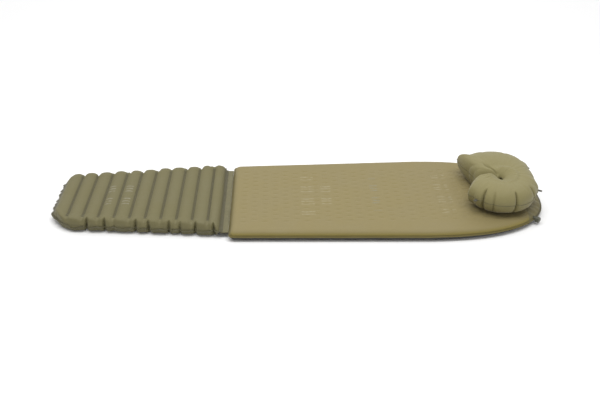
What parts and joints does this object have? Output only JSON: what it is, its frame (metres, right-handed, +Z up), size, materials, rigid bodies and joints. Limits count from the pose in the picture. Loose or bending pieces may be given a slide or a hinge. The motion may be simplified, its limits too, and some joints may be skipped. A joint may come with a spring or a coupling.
{
  "type": "inflatable sleeping pad",
  "caption": "Modular camping sleeping pad: self-inflating foam mat, air foot section of cross tubes on a hook-and-loop coupler, and a horseshoe air pillow, each with its valve.",
  "frame": {"origin": "on the floor, under the middle of the pad's length and width", "axes": "+X along the pad towards the head end, +Y across it, +Z up"},
  "size_m": [1.83, 0.511, 0.1479],
  "materials": {
    "mat_fabric": "matte",
    "mat_underside": "matte",
    "foam": "matte",
    "foot_fabric": "matte",
    "baffle_film": "satin",
    "tape": "matte",
    "pillow_fabric": "matte",
    "valve_plastic": "satin",
    "valve_rubber": "satin"
  },
  "bodies": {
    "mat": {"mat_top_skin": "mat_fabric", "mat_bottom_skin": "mat_underside", "mat_foam_core": "foam", "mat_valve_barrel": "valve_plastic", "coupler_loop_tape": "tape", "pillow_loop_patch_near": "tape", "pillow_loop_patch_far": "tape"},
    "mat_valve_stem": {"mat_valve_stem": "valve_plastic", "mat_valve_seal": "valve_rubber"},
    "mat_valve_cap": {"mat_valve_cap": "valve_plastic"},
    "foot_coupler": {"coupler_hook_tape": "tape"},
    "foot": {"foot_top_skin": "foot_fabric", "foot_bottom_skin": "foot_fabric", "foot_baffle_01": "baffle_film", "foot_baffle_02": "baffle_film", "foot_baffle_03": "baffle_film", "foot_baffle_04": "baffle_film", "foot_baffle_05": "baffle_film", "foot_baffle_06": "baffle_film", "foot_baffle_07": "baffle_film", "foot_baffle_08": "baffle_film", "foot_baffle_09": "baffle_film", "foot_baffle_10": "baffle_film", "foot_valve_base": "valve_plastic"},
    "foot_valve_plug": {"foot_valve_plug": "valve_rubber", "foot_valve_flap": "valve_rubber"},
    "foot_valve_cap": {"foot_valve_cap": "valve_rubber"},
    "pillow": {"pillow_top_skin": "pillow_fabric", "pillow_bottom_skin": "pillow_fabric", "pillow_hook_patch_near": "tape", "pillow_hook_patch_far": "tape", "pillow_tab_far_arm": "tape", "pillow_tab_far_head": "tape", "pillow_tab_near_arm": "tape", "pillow_tab_near_head": "tape", "pillow_valve_base": "valve_plastic"},
    "pillow_valve_plug": {"pillow_valve_plug": "valve_rubber", "pillow_valve_flap": "valve_rubber"},
    "pillow_valve_cap": {"pillow_valve_cap": "valve_rubber"}
  },
  "joints": [
    {"name": "foot_lift_off", "type": "slide", "parent": "mat", "child": "foot_coupler", "axis": [0, 0, 1], "range_m": [0, 0.15]},
    {"name": "foot_fold", "type": "hinge", "parent": "foot_coupler", "child": "foot", "pos_m": [-0.2877, 0, 0.0275], "axis": [0, 1, 0], "range_deg": [0, 90]},
    {"name": "pillow_lift_off", "type": "slide", "parent": "mat", "child": "pillow", "axis": [0, 0, 1], "range_m": [0, 0.15]},
    {"name": "mat_valve_lift", "type": "slide", "parent": "mat", "child": "mat_valve_stem", "axis": [0.7115, -0.7027, 0], "range_m": [0, 0.0061]},
    {"name": "mat_valve_twist", "type": "hinge", "parent": "mat_valve_stem", "child": "mat_valve_cap", "pos_m": [0.86106, -0.15027, 0.019], "axis": [0.7115, -0.7027, 0], "range_deg": [0, 540]},
    {"name": "foot_valve_plug_open", "type": "hinge", "parent": "foot", "child": "foot_valve_plug", "pos_m": [-0.8314, 0.15677, 0.01417], "axis": [0, 0.4695, 0.8829], "range_deg": [0, 100]},
    {"name": "foot_valve_cap_open", "type": "hinge", "parent": "foot_valve_plug", "child": "foot_valve_cap", "pos_m": [-0.8061, 0.1588, 0.01309], "axis": [0, -0.4695, -0.8829], "range_deg": [0, 150]},
    {"name": "pillow_valve_plug_open", "type": "hinge", "parent": "pillow", "child": "pillow_valve_plug", "pos_m": [0.7322, 0.16656, 0.0691], "axis": [0, 0.3401, 0.9404], "range_deg": [0, 100]},
    {"name": "pillow_valve_cap_open", "type": "hinge", "parent": "pillow_valve_plug", "child": "pillow_valve_cap", "pos_m": [0.7575, 0.16872, 0.06832], "axis": [0, -0.3401, -0.9404], "range_deg": [0, 150]}
  ],
  "couplings": [
    {"joint": "mat_valve_lift", "follows": "mat_valve_twist", "m_per_rad": 0.0006366}
  ]
}
